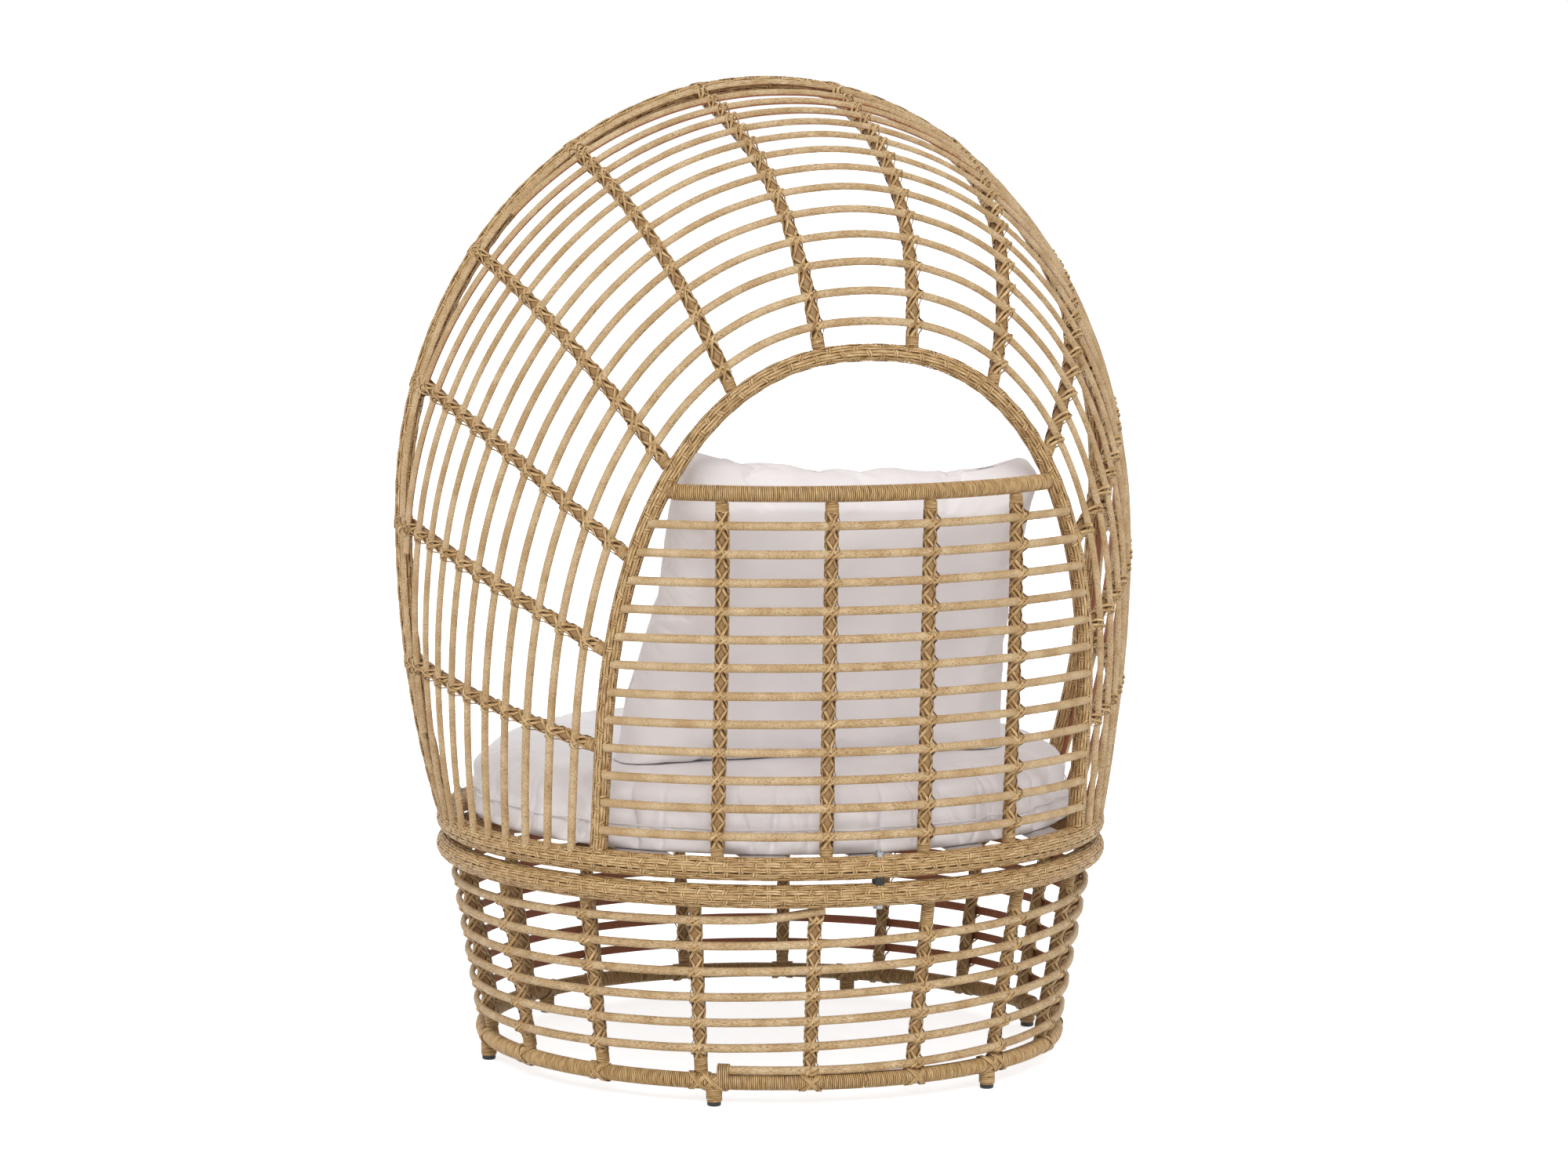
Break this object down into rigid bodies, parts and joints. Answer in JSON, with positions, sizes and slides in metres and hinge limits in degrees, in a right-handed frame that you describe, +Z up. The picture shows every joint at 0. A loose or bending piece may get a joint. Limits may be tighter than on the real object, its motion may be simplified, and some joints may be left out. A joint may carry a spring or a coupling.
{
  "type": "egg chair",
  "caption": "Free-standing egg chair: an open cane hood on a woven seat ring, bolted to an open cane base, with a round seat cushion and a loose back cushion.",
  "frame": {"origin": "on the floor, below the middle of the seat ring", "axes": "+Z up; the open front of the hood faces -Y and its back panel +Y; +X is the sitter's left"},
  "size_m": [1.113, 0.9971, 1.4457],
  "materials": {
    "frame_tube": "brown powder coat",
    "rattan_weave": "woven flat strip, satin",
    "rattan_cane": "extruded half round, grained",
    "cushion_fabric": "plain weave",
    "strap_webbing": "elastic webbing",
    "glide_plastic": "moulded",
    "bolt_steel": "black zinc"
  },
  "bodies": {
    "frame": {"back_arch_tube": "frame_tube", "back_arch_weave": "rattan_weave", "back_panel_canes": "rattan_cane", "back_post_1": "frame_tube", "back_post_2": "frame_tube", "back_post_3": "frame_tube", "back_post_4": "frame_tube", "back_rail_tube": "frame_tube", "back_rail_wrap": "rattan_weave", "base_cane_turn_1": "rattan_cane", "base_cane_turn_2": "rattan_cane", "base_cane_turn_3": "rattan_cane", "base_cane_turn_4": "rattan_cane", "base_cane_turn_5": "rattan_cane", "base_cane_turn_6": "rattan_cane", "base_posts": "frame_tube", "base_ring_tube": "frame_tube", "base_ring_weave": "rattan_weave", "floor_ring_tube": "frame_tube", "floor_ring_wrap": "rattan_weave", "foot_glides": "glide_plastic", "front_hoop_tube": "frame_tube", "front_hoop_weave": "rattan_weave", "hood_cane_01": "rattan_cane", "hood_cane_02": "rattan_cane", "hood_cane_03": "rattan_cane", "hood_cane_04": "rattan_cane", "hood_cane_05": "rattan_cane", "hood_cane_06": "rattan_cane", "hood_cane_07": "rattan_cane", "hood_cane_08": "rattan_cane", "hood_cane_09": "rattan_cane", "hood_cane_10": "rattan_cane", "hood_cane_11": "rattan_cane", "hood_cane_12": "rattan_cane", "hood_cane_13": "rattan_cane", "hood_cane_14": "rattan_cane", "hood_rib_01": "frame_tube", "hood_rib_02": "frame_tube", "hood_rib_03": "frame_tube", "hood_rib_04": "frame_tube", "hood_rib_05": "frame_tube", "hood_rib_06": "frame_tube", "hood_rib_07": "frame_tube", "hood_rib_08": "frame_tube", "hood_rib_09": "frame_tube", "hood_rib_10": "frame_tube", "hood_rib_11": "frame_tube", "hood_rib_12": "frame_tube", "hood_seat_ring_tube": "frame_tube", "hood_seat_ring_weave": "rattan_weave", "legs": "frame_tube", "ring_bolts": "bolt_steel", "ring_nuts": "bolt_steel", "ring_spacers": "bolt_steel", "seat_straps": "strap_webbing", "seat_support_bars": "frame_tube"},
    "seat_cushion": {"seat_cushion": "cushion_fabric"},
    "back_cushion": {"back_cushion": "cushion_fabric"}
  },
  "joints": [
    {"name": "seat_cushion_lift", "type": "slide", "parent": "frame", "child": "seat_cushion", "axis": [0, 0, 1], "range_m": [0, 0.03]},
    {"name": "back_cushion_pull", "type": "slide", "parent": "seat_cushion", "child": "back_cushion", "axis": [0, -0.8192, 0.5736], "range_m": [0, 0.12]}
  ]
}
